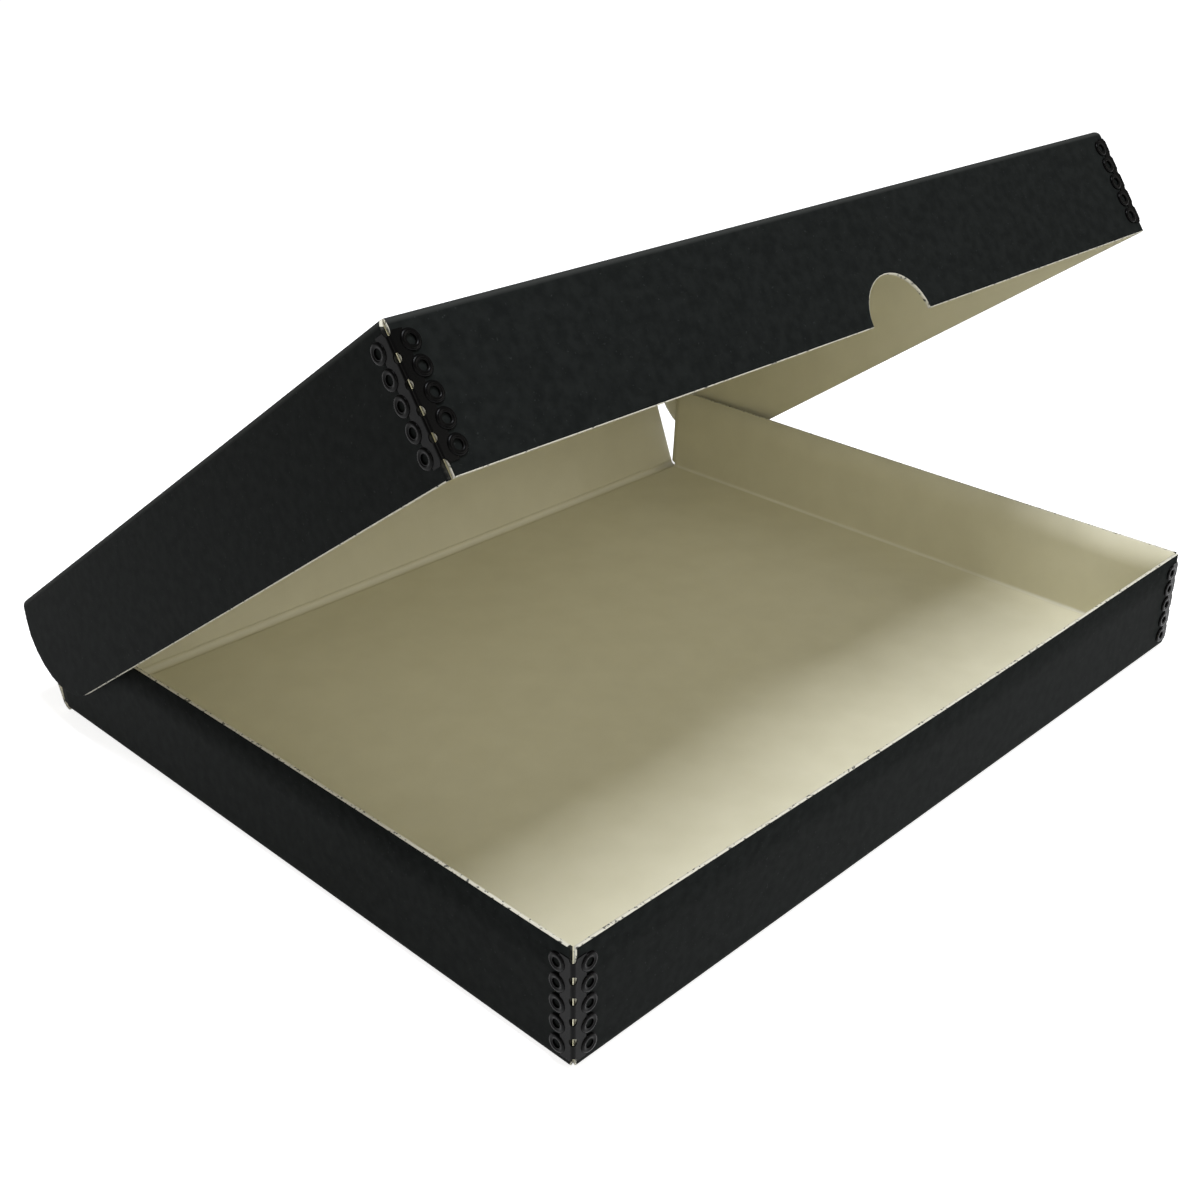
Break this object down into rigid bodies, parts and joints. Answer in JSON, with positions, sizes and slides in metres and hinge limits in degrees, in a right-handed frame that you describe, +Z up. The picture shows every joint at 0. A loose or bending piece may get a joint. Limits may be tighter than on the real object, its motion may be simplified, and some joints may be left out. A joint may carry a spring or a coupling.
{
  "type": "archival storage box",
  "caption": "Shallow clamshell storage box of thin folded board, black outside and cream inside, hinged lid and spine, stamped metal corner stays and a thumb notch.",
  "frame": {"origin": "centre of the tray's underside", "axes": "+X along the folds to the right, -Y towards the tray's front wall, +Y towards the spine, +Z up"},
  "size_m": [0.3782, 0.3085, 0.213],
  "materials": {
    "board": "matte black paper face outside, cream paper face inside",
    "stay": "glossy black enamel"
  },
  "bodies": {
    "tray": {"tray_board": "board", "tray_fold_strip": "board", "tray_stay_left": "stay", "tray_stay_right": "stay"},
    "spine": {"spine_board": "board"},
    "lid": {"lid_board": "board", "lid_fold_strip": "board", "lid_stay_left": "stay", "lid_stay_right": "stay"}
  },
  "joints": [
    {"name": "spine_fold", "type": "hinge", "parent": "tray", "child": "spine", "pos_m": [0, 0.1454, 0.00065], "axis": [-1, 0, 0], "range_deg": [-21.4, 68.6], "deforming": ["tray_fold_strip"]},
    {"name": "lid_fold", "type": "hinge", "parent": "spine", "child": "lid", "pos_m": [0, 0.1618, 0.0425], "axis": [-1, 0, 0], "range_deg": [-13.9, 76.1], "deforming": ["lid_fold_strip"]}
  ]
}
